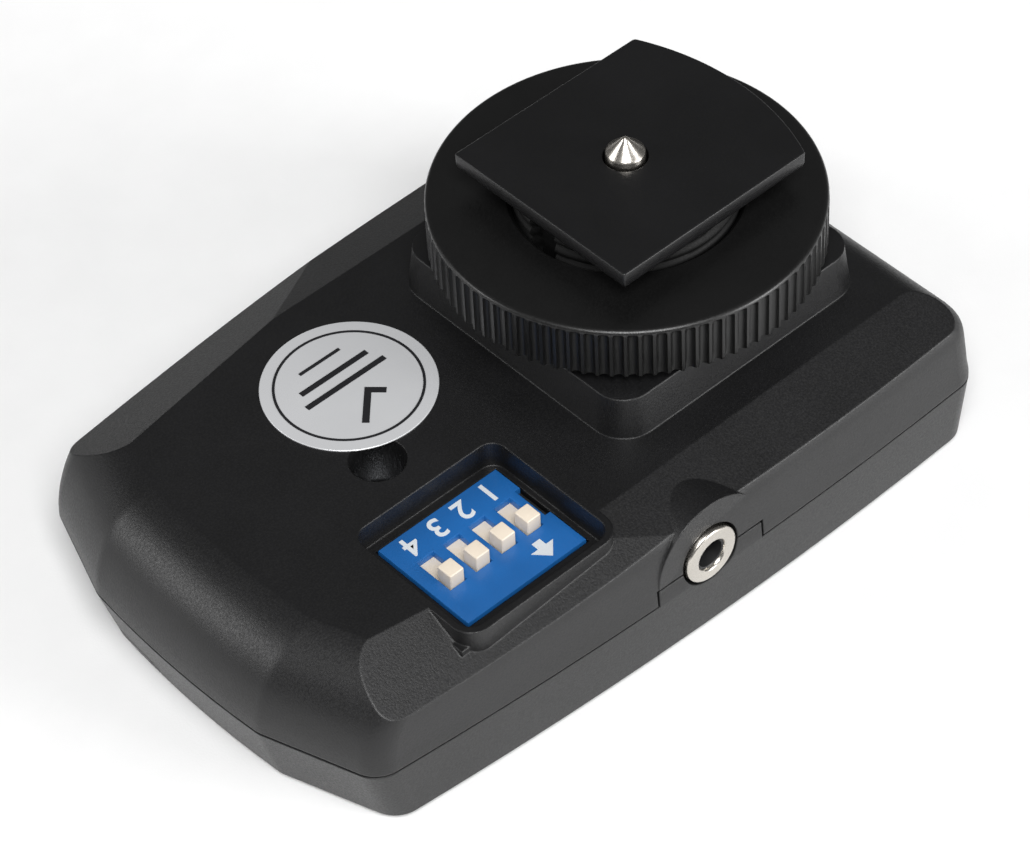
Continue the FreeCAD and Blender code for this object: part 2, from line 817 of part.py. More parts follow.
def make_shoe_foot():
    """Shoe plate on its threaded post, with the spigot that enters the pedestal."""
    body = new_body("shoe_foot_body")
    plate = sketch_on(body, "plate_outline", "XY", plate_bottom)
    half = size.plate_width.value / 2
    back = -size.plate_back.value
    front = size.plate_front.value
    crown = front + size.plate_bulge.value
    trace(plate, Part.Wire([
        Part.LineSegment(Vec(back, half, 0), Vec(back, -half, 0)).toShape(),
        Part.LineSegment(Vec(back, -half, 0), Vec(front, -half, 0)).toShape(),
        Part.Arc(Vec(front, -half, 0), Vec(crown, 0, 0), Vec(front, half, 0)).toShape(),
        Part.LineSegment(Vec(front, half, 0), Vec(back, half, 0)).toShape(),
    ]))
    slab = pad(body, plate, size.plate_thickness)
    top_z = size.plate_top.value
    soften(body, slab, size.plate_edge, lambda edge: edge.BoundBox.ZMin > top_z - 0.01)
    post = sketch_on(body, "post_circle", "XY", plate_bottom)
    circle(post, dim(0), dim(0), size.post_radius)
    pad(body, post, plate_bottom - pedestal_top, reverse=True)
    spigot = sketch_on(body, "spigot_circle", "XY", pedestal_top)
    circle(spigot, dim(0), dim(0), size.spigot_radius)
    pad(body, spigot, size.spigot_drop, reverse=True)
    bore = sketch_on(body, "pin_bore_circle", "XY", size.plate_top)
    circle(bore, dim(0), dim(0), pin_bore)
    pocket(body, bore, size.pin_length)
    chamber = sketch_on(body, "spring_chamber_circle", "XY", pin_flange_top)
    circle(chamber, dim(0), dim(0), spring_bore)
    pocket(body, chamber, pin_flange_top - spigot_bottom)
    keyway = sketch_on(body, "keyway_outline", "XY", plate_bottom)
    reach = size.post_radius + size.overrun
    deep = size.post_radius - size.keyway_depth
    low, high = around(dim(0), size.keyway_width)
    polygon(keyway, [(-reach, low), (-deep, low), (-deep, high), (-reach, high)])
    pocket(body, keyway, plate_bottom - pedestal_top)
    for side in (1, -1):
        pilot = sketch_on(body, f"foot_pilot_{side + 1}", "XY", pedestal_top)
        circle(pilot, dim(0), size.foot_screw_offset * side,
               size.foot_screw_radius + size.press_gap)
        pocket(body, pilot, size.foot_screw_length, reverse=True)
    bind(body, place_x=size.post_x)
    return body


def make_foot_screws():
    """Two pan-head screws that pull the foot down from inside the case."""
    screws = []
    for side in (1, -1):
        shank = size.foot_screw_radius
        seat = pedestal_top - size.roof
        screws.append(turned(f"foot_screw_{side + 1}", [
            (dim(0), -size.screw_head),
            (size.screw_head_radius, -size.screw_head),
            (size.screw_head_radius, dim(0)),
            (shank, dim(0)),
            (shank, size.foot_screw_length),
            (dim(0), size.foot_screw_length),
        ], size.post_x, size.foot_screw_offset * side, seat))
    return group("foot_screw_group", screws)


def coil(name, radius, wire, length, turns, at, axis="Z"):
    """A spring of round wire; its ends lie within the stated length."""
    path = doc.addObject("Part::Helix", name + "_path")
    bind(path, Radius=radius, Height=length - wire, Pitch=(length - wire) / turns)
    ring = doc.addObject("Part::Circle", name + "_wire")
    bind(ring, Radius=wire / 2)
    ring.Placement = FreeCAD.Placement(Vec(dim(radius).value, 0, 0),
                                       FreeCAD.Rotation(Vec(1, 0, 0), 90))
    ring.setExpression("Placement.Base.x", dim(radius).text)
    made = doc.addObject("Part::Sweep", name)
    made.Sections = [ring]
    made.Spine = (path, ["Edge1"])
    made.Solid = True
    made.Frenet = True
    made.Placement = FreeCAD.Placement(Vec(), AXIS_ROTATIONS[axis])
    bind(made, place_x=at[0], place_y=at[1], place_z=at[2])
    return made


node("shoe_foot", make_shoe_foot())
node("foot_screws", make_foot_screws())
node("contact_pin", turned("contact_pin_turned", [
    (dim(0), -size.pin_tail),
    (size.pin_tail_radius, -size.pin_tail),
    (size.pin_tail_radius, dim(0)),
    (size.pin_flange_radius, dim(0)),
    (size.pin_flange_radius, size.pin_flange - size.press_gap),
    (size.pin_radius, size.pin_flange - size.press_gap),
    (size.pin_radius, size.pin_flange + size.pin_length + size.pin_stand),
    (dim(0), size.pin_flange + size.pin_length + size.pin_stand + size.pin_cone),
], size.post_x, 0, spring_top))
node("contact_spring", coil(
    "contact_spring_coil", size.pin_flange_radius - size.spring_wire, size.spring_wire,
    size.spring_length, size.spring_turns,
    (size.post_x, dim(0), spring_bottom + size.spring_wire / 2)))
node("contact_terminal", turned("contact_terminal_turned", [
    (dim(0), dim(0)),
    (size.pin_flange_radius, dim(0)),
    (size.pin_flange_radius, -size.terminal_thickness),
    (size.pin_tail_radius / 2, -size.terminal_thickness),
    (size.pin_tail_radius / 2, -size.terminal_tail),
    (dim(0), -size.terminal_tail),
], size.post_x, 0, spring_bottom))


# ---------------------------------------------------------------------------- lock ring
def make_lock_ring():
    """Fluted ring that runs on the post; a recess below holds the friction washer."""
    body = new_body("lock_ring_body")
    profile = sketch_on(body, "ring_profile", "XZ")
    bore = size.post_radius + size.thread_gap
    recess = size.washer_radius + size.thread_gap
    depth = size.washer_thickness + size.slide_gap
    edge = size.ring_edge
    polygon(profile, [
        (bore, depth),
        (recess, depth),
        (recess, dim(0)),
        (size.ring_radius - edge / 2, dim(0)),
        (size.ring_radius, edge / 2),
        (size.ring_radius, size.ring_height - edge),
        (size.ring_radius - edge, size.ring_height),
        (bore, size.ring_height),
    ])
    blank = body.newObject("PartDesign::Revolution", "ring_turn")
    blank.Profile = profile
    blank.ReferenceAxis = (profile, ["V_Axis"])
    blank.Angle = 360
    flute = sketch_on(body, "flute_circle", "XY", 0)
    circle(flute, size.ring_radius + size.flute_radius - size.flute_depth, dim(0),
           size.flute_radius)
    groove = pocket(body, flute, size.ring_height, reverse=True)
    pattern = body.newObject("PartDesign::PolarPattern", "flutes")
    pattern.Originals = [groove]
    pattern.Axis = (flute, ["N_Axis"])
    pattern.Angle = 360
    bind(pattern, Occurrences=size.flute_count)
    body.Tip = pattern
    bind(body, place_x=size.post_x, place_z=size.ring_bottom)
    return body


def make_friction_washer():
    """Thin washer in the ring's recess, keyed to the post so that it only rides up and down."""
    bottom = size.ring_bottom + size.slide_gap / 2
    disc = rod("washer_disc", size.washer_radius, size.washer_thickness,
               (size.post_x, dim(0), bottom))
    eye = rod("washer_eye", size.post_radius + size.thread_gap, size.washer_thickness * 3,
              (size.post_x, dim(0), bottom - size.washer_thickness))
    ring = cut("washer_ring", disc, eye)
    outer = size.post_x - size.post_radius
    tab = box("washer_tab", (outer - size.wall / 2, outer + size.keyway_depth - size.slide_gap),
              around(dim(0), size.keyway_width - size.slide_gap * 2),
              (bottom, bottom + size.washer_thickness))
    return fuse("washer_keyed", ring, tab)


node("lock_ring", make_lock_ring())
node("friction_washer", make_friction_washer())


# ------------------------------------------------------------------- channel switch bank
channels = 4
cover_bottom = size.dip_top - size.dip_cover
housing_bottom = size.board_top + size.dip_standoff
knob_front_y = size.dip_y - size.slot_front + size.slide_gap / 3
slider_bottom = cover_bottom - size.slider_base


def channel_x(channel):
    """Middle of one channel's slot; channel 1 is the one nearest the shoe."""
    return size.dip_x + size.dip_pitch * ((channels + 1) / 2 - channel)


def leg_places():
    """Board position of each switch leg, in two rows."""
    places = []
    for channel in range(1, channels + 1):
        for side in (1, -1):
            places.append((channel_x(channel), size.dip_y + size.dip_row / 2 * side))
    return places


def make_dip_housing():
    """Moulded tray of the switch bank with one trough for each slider."""
    block = box("dip_block", around(size.dip_x, size.dip_length),
                around(size.dip_y, size.dip_width), (housing_bottom, cover_bottom))
    gap = size.slide_gap
    front = knob_front_y - size.slider_base_front - gap
    back = knob_front_y + size.knob_length + size.slider_base_back + size.slider_travel + gap
    troughs = [
        box(f"trough_{channel}", around(channel_x(channel), size.slider_base_width + gap),
            (front, back), (slider_bottom - gap / 2, cover_bottom + size.overrun))
        for channel in range(1, channels + 1)
    ]
    return cut("dip_housing_cut", block, *troughs)


def make_dip_cover():
    """Printed cover plate of the switch bank with its four slots."""
    plate = box("dip_plate", around(size.dip_x, size.dip_length),
                around(size.dip_y, size.dip_width), (cover_bottom, size.dip_top))
    front = size.dip_y - size.slot_front
    slots = [
        box(f"slot_{channel}", around(channel_x(channel), size.slot_width),
            (front, front + size.slot_length),
            (cover_bottom - size.overrun, size.dip_top + size.overrun))
        for channel in range(1, channels + 1)
    ]
    return cut("dip_cover_cut", plate, *slots)


def make_dip_slider(channel):
    """One slider: a base that fills the trough and a knob that stands out of the slot."""
    middle = channel_x(channel)
    back = knob_front_y + size.knob_length
    base = box(f"slider_base_{channel}", around(middle, size.slider_base_width),
               (knob_front_y - size.slider_base_front, back + size.slider_base_back),
               (slider_bottom, cover_bottom - size.press_gap))
    knob = box(f"slider_knob_{channel}", around(middle, size.knob_width),
               (knob_front_y, back), (slider_bottom, size.dip_top + size.knob_height))
    return fuse(f"slider_solid_{channel}", base, knob)


def make_dip_pins():
    """The switch bank's eight legs, through the board."""
    legs = [
        rod(f"dip_leg_{k}", size.dip_leg_radius, size.dip_leg_drop,
            (x, y, housing_bottom - size.dip_leg_drop))
        for k, (x, y) in enumerate(leg_places())
    ]
    return group("dip_legs", legs)


node("dip_housing", make_dip_housing())
node("dip_cover", make_dip_cover())
for channel in range(1, channels + 1):
    node(f"dip_slider_{channel}", make_dip_slider(channel))
node("dip_pins", make_dip_pins())


# ------------------------------------------------------------------------- sync socket
jack_front_y = size.bush_length - size.bush_face
jack_x_span = around(size.jack_x, size.jack_body_width)


def make_jack_body():
    """Socket body on the board, bored for the plug, with a slot for the tip spring."""
    block = box("jack_block", jack_x_span, (jack_front_y, jack_front_y + size.jack_body_length),
                (size.board_top, size.board_top + size.jack_body_height))
    depth = size.jack_body_length - size.jack_end_wall
    bore = rod("jack_body_bore", size.jack_body_bore, depth,
               (size.jack_x, jack_front_y, size.jack_z), "Y")
    slot = box("jack_slot", around(size.jack_x, size.jack_bore),
               (jack_front_y + size.lug_inset, jack_front_y + depth),
               (size.jack_z, size.board_top + size.jack_body_height + size.overrun))
    return cut("jack_body_cut", block, bore, slot)


def make_jack_bush():
    """Turned metal bush that fills the hole in the case wall."""
    tube = rod("bush_tube", size.bush_radius, size.bush_length,
               (size.jack_x, -size.bush_face, size.jack_z), "Y")
    bore = rod("bush_bore", size.jack_bore, size.bush_length + size.overrun * 2,
               (size.jack_x, -size.bush_face - size.overrun, size.jack_z), "Y")
    return cut("jack_bush_cut", tube, bore)


def make_jack_lugs():
    """Solder lugs along both sides of the socket body."""
    lugs = []
    for side in (1, -1):
        edge = size.jack_x + size.jack_body_width / 2 * side
        span = (edge, edge + size.lug_reach) if side == 1 else (edge - size.lug_reach, edge)
        for k in range(2):
            start = jack_front_y + size.lug_inset + size.lug_pitch * k
            lugs.append(box(f"lug_{side + 1}_{k}", span, (start, start + size.lug_width),
                            (size.board_top, size.board_top + size.contact_thickness)))
    return group("jack_lug_group", lugs)


tip_end_y = jack_front_y + size.jack_body_length - size.tip_spring_setback
tip_bottom = size.jack_z + size.jack_bore + size.slide_gap
node("jack_body", make_jack_body())
node("jack_bush", make_jack_bush())
node("jack_lugs", make_jack_lugs())
node("jack_tip_spring", box(
    "tip_spring", around(size.jack_x, size.jack_bore - size.slide_gap * 2),
    (tip_end_y - size.tip_spring_length, tip_end_y),
    (tip_bottom, tip_bottom + size.contact_thickness)))


# -------------------------------------------------------------- circuit board and parts
board_x = (-half_length + size.board_back, half_length - size.board_front)
board_y = (size.board_side - half_width, size.board_edge_y)
wing_x = (bay_front_x + size.rib * 2, board_x[1])
wing_y = (size.board_edge_y - size.overrun, half_width - size.board_side)
board_span = (board_bottom, size.board_top)


def on_board(name, x, y, length, width, height):
    """A block standing on the board, centred on x and y."""
    return box(name, around(dim(x), dim(length)), around(dim(y), dim(width)),
               (size.board_top, size.board_top + height))


def make_circuit_board():
    """Board with a wing beside the battery, drilled for the screw post and switch legs."""
    main = box("board_main", board_x, board_y, board_span)
    wing = box("board_wing", wing_x, wing_y, board_span)
    holes = [rod("post_hole", post_radius + size.slide_gap * 2, size.board_top,
                 (size.screw_x, size.screw_y, dim(0)))]
    for k, (x, y) in enumerate(leg_places()):
        holes.append(rod(f"leg_hole_{k}", size.dip_leg_hole, size.board_top + size.overrun,
                         (x, y, dim(0))))
    return cut("board_cut", fuse("board_blank", main, wing), *holes)


def make_encoder_leads():
    """Leads of the encoder chip, down both long sides."""
    leads = []
    for side in (1, -1):
        near = size.chip_y + size.chip_width / 2 * side
        far = near + size.lead_reach * side
        span = (near, far) if side == 1 else (far, near)
        count = int(size.chip_leads.value)
        for k in range(count):
            middle = size.chip_x + size.chip_pitch * (k - (count - 1) / 2)
            leads.append(box(f"lead_{side + 1}_{k}", around(middle, size.lead_width),
                             span, (size.board_top, size.board_top + size.contact_thickness)))
    return group("encoder_lead_group", leads)


def make_chip_row(name, count, start, y, height):
    """A row of chip resistors or capacitors."""
    row = [
        on_board(f"{name}_{k}", size.jack_x + start + size.row_pitch * k, y,
                 size.chip_part_width, size.chip_part_length, height)
        for k in range(count)
    ]
    return group(name, row)


node("circuit_board", make_circuit_board())
node("encoder_chip", on_board("encoder_block", size.chip_x, size.chip_y, size.chip_length,
                              size.chip_width, size.chip_height))
node("encoder_leads", make_encoder_leads())
node("saw_resonator", rod("saw_can", size.saw_radius, size.saw_height,
                          (size.saw_x, size.button_y - size.wall, size.board_top)))
node("rf_transistor", on_board("rf_block", size.chip_x, size.button_y,
                               size.transistor_length, size.transistor_width,
                               size.transistor_height))
node("chip_resistors", make_chip_row("resistors", 6, size.resistor_start, size.resistor_y,
                                     size.resistor_height))
node("chip_capacitors", make_chip_row("capacitors", 4, size.capacitor_start, size.capacitor_y,
                                      size.capacitor_height))
antenna_z = size.board_top + size.antenna_radius + size.slide_gap
node("antenna_coil", coil("antenna_turns", size.antenna_radius - size.antenna_wire / 2,
                          size.antenna_wire, size.antenna_length, size.antenna_turns,
                          (size.saw_x, wing_y[0] - size.antenna_setback, antenna_z), "Y"))


# ------------------------------------------------------------------ test button and lamp
tact_bottom = board_bottom - size.tact_height
plunger_bottom = tact_bottom - size.plunger_reach
flange_bottom = size.floor + size.press_gap
tact_pocket = size.button_travel + size.slide_gap + size.plunger_height - size.plunger_reach


def make_tact_body():
    """Body of the key switch under the board, with a well for its plunger."""
    block = box("tact_block", around(size.button_x, size.tact_size),
                around(size.button_y, size.tact_size), (tact_bottom, board_bottom))
    well = rod("tact_well", size.plunger_radius + size.slide_gap, tact_pocket + size.overrun,
               (size.button_x, size.button_y, tact_bottom - size.overrun))
    return cut("tact_cut", block, well)


node("test_button", turned("test_button_turned", [
    (dim(0), size.button_recess),
    (size.button_radius, size.button_recess),
    (size.button_radius, flange_bottom),
    (size.button_radius + size.button_flange, flange_bottom),
    (size.button_radius + size.button_flange, plunger_bottom),
    (dim(0), plunger_bottom),
], size.button_x, size.button_y, 0))
node("tact_body", make_tact_body())
node("tact_plunger", rod("plunger", size.plunger_radius, size.plunger_height,
                         (size.button_x, size.button_y, plunger_bottom)))
node("lamp", turned("lamp_turned", [
    (dim(0), size.button_recess),
    (size.lamp_tip, size.button_recess + size.lamp_dome),
    (size.lamp_radius, size.button_recess + size.lamp_radius),
    (size.lamp_radius, board_bottom - size.lamp_collar_height),
    (size.lamp_collar, board_bottom - size.lamp_collar_height),
    (size.lamp_collar, board_bottom),
    (dim(0), board_bottom),
], size.lamp_x, size.button_y, 0))


# ----------------------------------------------------------------------- battery and bay
def make_battery_cell():
    """12 V cylindrical cell lying along X, its button towards the shoe end."""
    body_length = size.cell_length - size.cell_nub
    can = rod("cell_can", size.cell_radius, body_length,
              (cell_back_x, size.cell_y, size.cell_z), "X")
    nub = rod("cell_button", size.cell_nub_radius, size.cell_length,
              (cell_back_x, size.cell_y, size.cell_z), "X")
    return fuse("cell_solid", can, nub)


node("battery_cell", make_battery_cell())
node("battery_spring", coil(
    "battery_spring_coil", size.battery_spring_radius, size.battery_spring_wire,
    size.battery_spring_length, size.battery_spring_turns,
    (bay_back_x + size.battery_spring_wire / 2, size.cell_y, size.cell_z), "X"))
node("battery_plate", box("battery_contact",
                          (cell_front_x, cell_front_x + size.contact_thickness),
                          around(size.cell_y, size.battery_plate_size),
                          around(size.cell_z, size.battery_plate_size)))


# ------------------------------------------------------------------- check and write out
doc.recompute()
for thing in doc.Objects:
    if "Invalid" in thing.State or "Error" in thing.State:
        raise RuntimeError(f"{thing.Label} failed: {thing.State}")
for label, thing in nodes.items():
    shape = thing.Shape
    if shape.isNull() or not shape.isValid() or shape.Volume <= 0:
        raise RuntimeError(f"{label} has no valid solid")

os.makedirs("parts", exist_ok=True)
for label, thing in nodes.items():
    thing.Shape.exportStep(f"parts/{label}.step")
    print(f"{label}: {thing.Shape.Volume:.1f} mm3, {len(thing.Shape.Solids)} solid(s)")
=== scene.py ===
# %% [markdown]
# # Wireless flash trigger, seen from its shoe side
# The part arrives as a packed assembly: every moulding, spring and chip is already in its place.
# This file gives each of them its finish, and rebuilds the pieces whose charm is in small detail:
# the fluted lock ring, the shoe foot, the contact pin, the switch bank and the sync socket.

# %% Load the frame
import json
import math

import bmesh
import bpy
from mathutils import Matrix, Vector


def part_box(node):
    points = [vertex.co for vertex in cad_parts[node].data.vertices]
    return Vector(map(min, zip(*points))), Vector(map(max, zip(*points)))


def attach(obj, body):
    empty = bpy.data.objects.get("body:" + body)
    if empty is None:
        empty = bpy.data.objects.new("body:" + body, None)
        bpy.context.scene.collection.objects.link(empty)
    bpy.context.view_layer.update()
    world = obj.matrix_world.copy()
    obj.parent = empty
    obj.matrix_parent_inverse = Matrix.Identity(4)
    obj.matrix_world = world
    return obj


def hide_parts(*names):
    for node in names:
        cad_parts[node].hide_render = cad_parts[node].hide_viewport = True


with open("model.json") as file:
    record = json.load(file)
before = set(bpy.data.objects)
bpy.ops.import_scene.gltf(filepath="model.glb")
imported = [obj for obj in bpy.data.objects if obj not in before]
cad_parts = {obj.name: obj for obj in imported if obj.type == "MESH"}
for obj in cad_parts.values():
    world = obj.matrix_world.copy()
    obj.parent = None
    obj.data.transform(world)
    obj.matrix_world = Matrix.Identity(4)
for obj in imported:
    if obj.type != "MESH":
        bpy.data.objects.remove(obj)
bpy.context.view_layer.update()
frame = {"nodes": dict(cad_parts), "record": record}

MM = 0.001
nodes = frame["nodes"]

# %% [markdown]
# ## Camera
# The trigger lies on its front face on a table, and the lens looks down on it from one corner.
# A camera's place is easiest to reason about as an orbit: an aim point, two angles and a distance.
# A small roll finishes it, because a hand-held camera is rarely level.

# %% Place the camera
AIM = Vector((0.047, -2.468, 10.0)) * MM
DISTANCE = 292.81 * MM
AZIMUTH = math.radians(-40.1616)
ELEVATION = math.radians(46.3244)
ROLL = math.radians(-3.252)
SENSOR_MM = 36.0
FOCAL_MM = 133.926
NEAREST, FARTHEST = 0.01, 20

back = Vector((
    math.sin(AZIMUTH) * math.cos(ELEVATION),
    -math.cos(AZIMUTH) * math.cos(ELEVATION),
    math.sin(ELEVATION),
))
level_right = (-back).cross(Vector((0, 0, 1))).normalized()
level_up = level_right.cross(-back)
image_right = level_right * math.cos(ROLL) + level_up * math.sin(ROLL)
image_up = level_up * math.cos(ROLL) - level_right * math.sin(ROLL)

lens = bpy.data.cameras.new("camera")
lens.sensor_width = SENSOR_MM
lens.lens = FOCAL_MM
lens.clip_start = NEAREST
lens.clip_end = FARTHEST
camera = bpy.data.objects.new("camera", lens)
camera.matrix_world = Matrix.Translation(AIM + back * DISTANCE) @ Matrix(
    (image_right, image_up, back)).transposed().to_4x4()
bpy.context.scene.collection.objects.link(camera)
bpy.context.scene.camera = camera
print("camera at", [round(v / MM, 1) for v in camera.location], "mm")

# %% [markdown]
# ## Studio
# Black plastic shows almost nothing of its own colour: what the eye reads is the shape of the
# lamps mirrored in it. So the room is kept dim, which leaves the flat tops near black. One
# softbox is set where the ridges and the ring's rim mirror it, a weaker one does the same for the
# other end, and a third stands beside the camera, where nothing flat mirrors it, to light the
# paper.

# %% Lamps
ROOM_STRENGTH = 0.12
WHITE = (1, 1, 1, 1)
world = bpy.data.worlds.new("studio")
world.use_nodes = True
room = world.node_tree.nodes["Background"].inputs
room["Color"].default_value = WHITE
room["Strength"].default_value = ROOM_STRENGTH
bpy.context.scene.world = world
bpy.context.scene.view_settings.view_transform = "Standard"


def soft_lamp(name, toward, distance, size, watts):
    """A square softbox, metres away from the aim point along a direction, facing it."""
    data = bpy.data.lights.new(name, "AREA")
    data.size = size
    data.energy = watts
    lamp = bpy.data.objects.new(name, data)
    away = Vector(toward).normalized()
    lamp.location = AIM + away * distance
    lamp.rotation_mode = "QUATERNION"
    lamp.rotation_quaternion = away.to_track_quat("Z", "Y")
    bpy.context.scene.collection.objects.link(lamp)
    print(name, [round(v, 2) for v in lamp.location])


soft_lamp("ridge_softbox", (0.445, -0.86, 0.30), 1.0, 0.45, 7.0)
soft_lamp("end_softbox", (-0.70, 0.53, 0.42), 1.0, 0.40, 2.5)
soft_lamp("paper_softbox", (-0.35, -0.50, 0.90), 1.2, 0.60, 15.0)

# %% Lay the floor
FLOOR_SIZE = 3.0
floor_mesh = bpy.data.meshes.new("floor")
half = FLOOR_SIZE / 2
floor_mesh.from_pydata([(-half, -half, 0), (half, -half, 0), (half, half, 0), (-half, half, 0)],
                       [], [(0, 1, 2, 3)])
floor = bpy.data.objects.new("floor", floor_mesh)
bpy.context.scene.collection.objects.link(floor)
print("studio ready")

# %% [markdown]
# ## Colours and finishes
# A finish is a short network: the plastic's own colour, a slow cloud of variation in it, a
# roughness that wanders a little, and the height of the moulded or machined grain. Every pattern
# is sized from a real length, so that a 0.1 mm spark pit is 0.1 mm wide on the model too.

# %% Small helpers for materials


def linear(code):
    """A hex colour as linear red, green, blue and alpha."""
    levels = [int(code[i:i + 2], 16) / 255 for i in (1, 3, 5)]
    return [v / 12.92 if v <= 0.04045 else ((v + 0.055) / 1.055) ** 2.4 for v in levels] + [1]


def add(tree, kind, links=None, **settings):
    """Adds one node. settings are its own properties, links its inputs: values or other sockets."""
    made = tree.nodes.new("ShaderNode" + kind)
    for key, value in settings.items():
        setattr(made, key, value)
    for key, value in (links or {}).items():
        if isinstance(value, bpy.types.NodeSocket):
            tree.links.new(value, made.inputs[key])
        else:
            made.inputs[key].default_value = value
    return made


FINISHES = {}


def finish(name, colour, rough, metal=0.0, ior=1.5, shade=0.15, cloud_mm=6.0, grain_mm=0.2,
           grain_deep_mm=0.01, rough_swing=0.08, stretch=(1, 1, 1), soft_edge_mm=0.0, coat=0.0):
    """A named finish: clouded colour, wandering roughness and a grain of a real width and depth."""
    made = bpy.data.materials.new(name)
    made.use_nodes = True
    tree = made.node_tree
    skin = tree.nodes["Principled BSDF"]
    place = add(tree, "TexCoord").outputs["Object"]
    drawn = add(tree, "Mapping", {"Vector": place, "Scale": stretch}).outputs[0]
    cloud = add(tree, "TexNoise", {"Vector": place, "Scale": 1 / (cloud_mm * MM), "Detail": 4.0})
    grain = add(tree, "TexNoise", {"Vector": drawn, "Scale": 1 / (grain_mm * MM), "Detail": 3.0})
    base = linear(colour)
    dark = [v * (1 - shade) for v in base[:3]] + [1]
    light = [min(v * (1 + shade), 1) for v in base[:3]] + [1]
    tint = add(tree, "ValToRGB", {"Fac": cloud.outputs["Fac"]})
    tint.color_ramp.elements[0].position, tint.color_ramp.elements[0].color = 0.35, dark
    tint.color_ramp.elements[1].position, tint.color_ramp.elements[1].color = 0.65, light
    swing = add(tree, "MapRange", {"Value": grain.outputs["Fac"], "From Min": 0.3, "From Max": 0.7,
                                   "To Min": rough - rough_swing, "To Max": rough + rough_swing})
    bump = add(tree, "Bump", {"Height": grain.outputs["Fac"], "Distance": grain_deep_mm * MM,
                              "Strength": 1.0})
    if soft_edge_mm:
        round_edge = add(tree, "Bevel", {"Radius": soft_edge_mm * MM}, samples=6)
        tree.links.new(round_edge.outputs[0], bump.inputs["Normal"])
    tree.links.new(tint.outputs["Color"], skin.inputs["Base Color"])
    tree.links.new(swing.outputs[0], skin.inputs["Roughness"])
    tree.links.new(bump.outputs[0], skin.inputs["Normal"])
    skin.inputs["Metallic"].default_value = metal
    skin.inputs["IOR"].default_value = ior
    skin.inputs["Coat Weight"].default_value = coat
    FINISHES[name] = made
    return made


def paint(material, *names):
    """Puts one finish on carried-over CAD nodes."""
    for name in names:
        slots = nodes[name].data.materials
        slots.clear()
        slots.append(material)


# Paper: fully matt, so that only the soft shadow shows on it.
floor_mesh.materials.append(finish("matt_paper_sweep", "#f2f2f2", 0.9, shade=0.01))
# Black ABS from a spark-eroded mould: a fine grain that greys where light grazes it.
case_abs = finish("spark_grained_black_abs", "#111112", 0.42, ior=1.54, grain_mm=0.16,
                  grain_deep_mm=0.016, soft_edge_mm=0.2)
# Satin mouldings: the ring and the foot come from polished moulds and show cleaner edge lines.
ring_abs = finish("satin_black_abs", "#0d0d0d", 0.36, ior=1.54, grain_mm=0.12, grain_deep_mm=0.004)
foot_nylon = finish("glass_filled_black_nylon", "#0f0f10", 0.38, ior=1.53, grain_mm=0.12,
                    grain_deep_mm=0.004, soft_edge_mm=0.1)
# Painted shade: the thread is the foot's black nylon made darker, duller and less reflective, for
# the shade on the post under the plate.
shaded_thread_nylon = finish("thread_painted_shade_black_nylon", "#070707", 0.62, ior=1.35, grain_mm=0.12)
# Undyed nylon is milky; zinc plate is a soft grey mirror; drawn steel shows brighter streaks.
washer_nylon = finish("natural_nylon_washer", "#d8d4c8", 0.45, ior=1.53)
zinc_steel = finish("zinc_plated_steel", "#b9bcc0", 0.35, metal=1, grain_mm=0.1)
# Metallised label stock under a matt varnish: pale all over, with a weak sheen.
silver_foil = finish("matt_silver_foil", "#d4d5d7", 0.42, metal=0.35, shade=0.03, cloud_mm=9.0,
                     grain_mm=0.1, grain_deep_mm=0.001, rough_swing=0.03)
# Turned and nickel plated: bright bands beside hard darks, a little warm.
nickel = finish("polished_nickel", "#cfcac2", 0.26, metal=1, shade=0.04, grain_mm=0.1,
                grain_deep_mm=0.0005, rough_swing=0.03)
spring_steel = finish("drawn_spring_steel", "#a9abae", 0.3, metal=1)
brass = finish("stamped_brass", "#c9a860", 0.3, metal=1)
# Switch mouldings: dense PBT with flat colour, and waxy cream nylon for the sliders.
switch_black = finish("moulded_black_pbt", "#1a1a1b", 0.5, ior=1.6)
switch_blue = finish("moulded_blue_pbt", "#1a62a8", 0.4, ior=1.6, shade=0.06)
slider_cream = finish("cream_nylon_slider", "#e3d6c4", 0.4, ior=1.53, shade=0.04)
# The board and its parts: tin and solder mask are glossy, epoxy and fired clay are dull.
tinned = finish("tinned_copper", "#c4c4c0", 0.3, metal=1)
board_green = finish("green_solder_mask", "#1f5a34", 0.3, ior=1.58, coat=0.3)
chip_epoxy = finish("moulded_epoxy", "#1c1c1d", 0.6, ior=1.55)
chip_ceramic = finish("fired_ceramic_chip", "#b59b78", 0.5, ior=1.7)
can_steel = finish("drawn_steel_can", "#c3c5c7", 0.25, metal=1)
copper_wire = finish("enamelled_copper_wire", "#a8562c", 0.3, metal=1)
# The button is satin, the lamp is clear red epoxy, and the cell has a glossy printed sleeve.
button_grey = finish("grey_abs_button", "#5b5d60", 0.45, ior=1.54)
lamp_red = finish("red_epoxy_lamp", "#a01512", 0.15, ior=1.55)
cell_jacket = finish("printed_cell_jacket", "#1f2f57", 0.35, ior=1.5)

by_slot = dict(case_abs=case_abs, ring_abs=ring_abs, foot_nylon=foot_nylon,
               washer_nylon=washer_nylon, zinc_steel=zinc_steel, silver_foil=silver_foil,
               nickel=nickel, spring_steel=spring_steel, brass=brass, switch_black=switch_black,
               switch_blue=switch_blue, slider_cream=slider_cream, tinned_copper=tinned,
               board_green=board_green, chip_epoxy=chip_epoxy, chip_ceramic=chip_ceramic,
               can_steel=can_steel, copper_wire=copper_wire, button_grey=button_grey,
               lamp_red=lamp_red, cell_jacket=cell_jacket)
for part in frame["record"]["subparts"]:
    paint(by_slot[part["material_slot"]], part["node"])
print(len(FINISHES), "finishes")

# %% [markdown]
# ## Mesh helpers
# Three ways of making a shape cover every piece here. A turned piece is a profile swept round an
# axis, a stamped piece is an outline stacked at several heights, and a slotted plate is a grid of
# cells with some left out. Each one ends as a plain mesh with its own finish.

# %% Turn lists of points into pieces


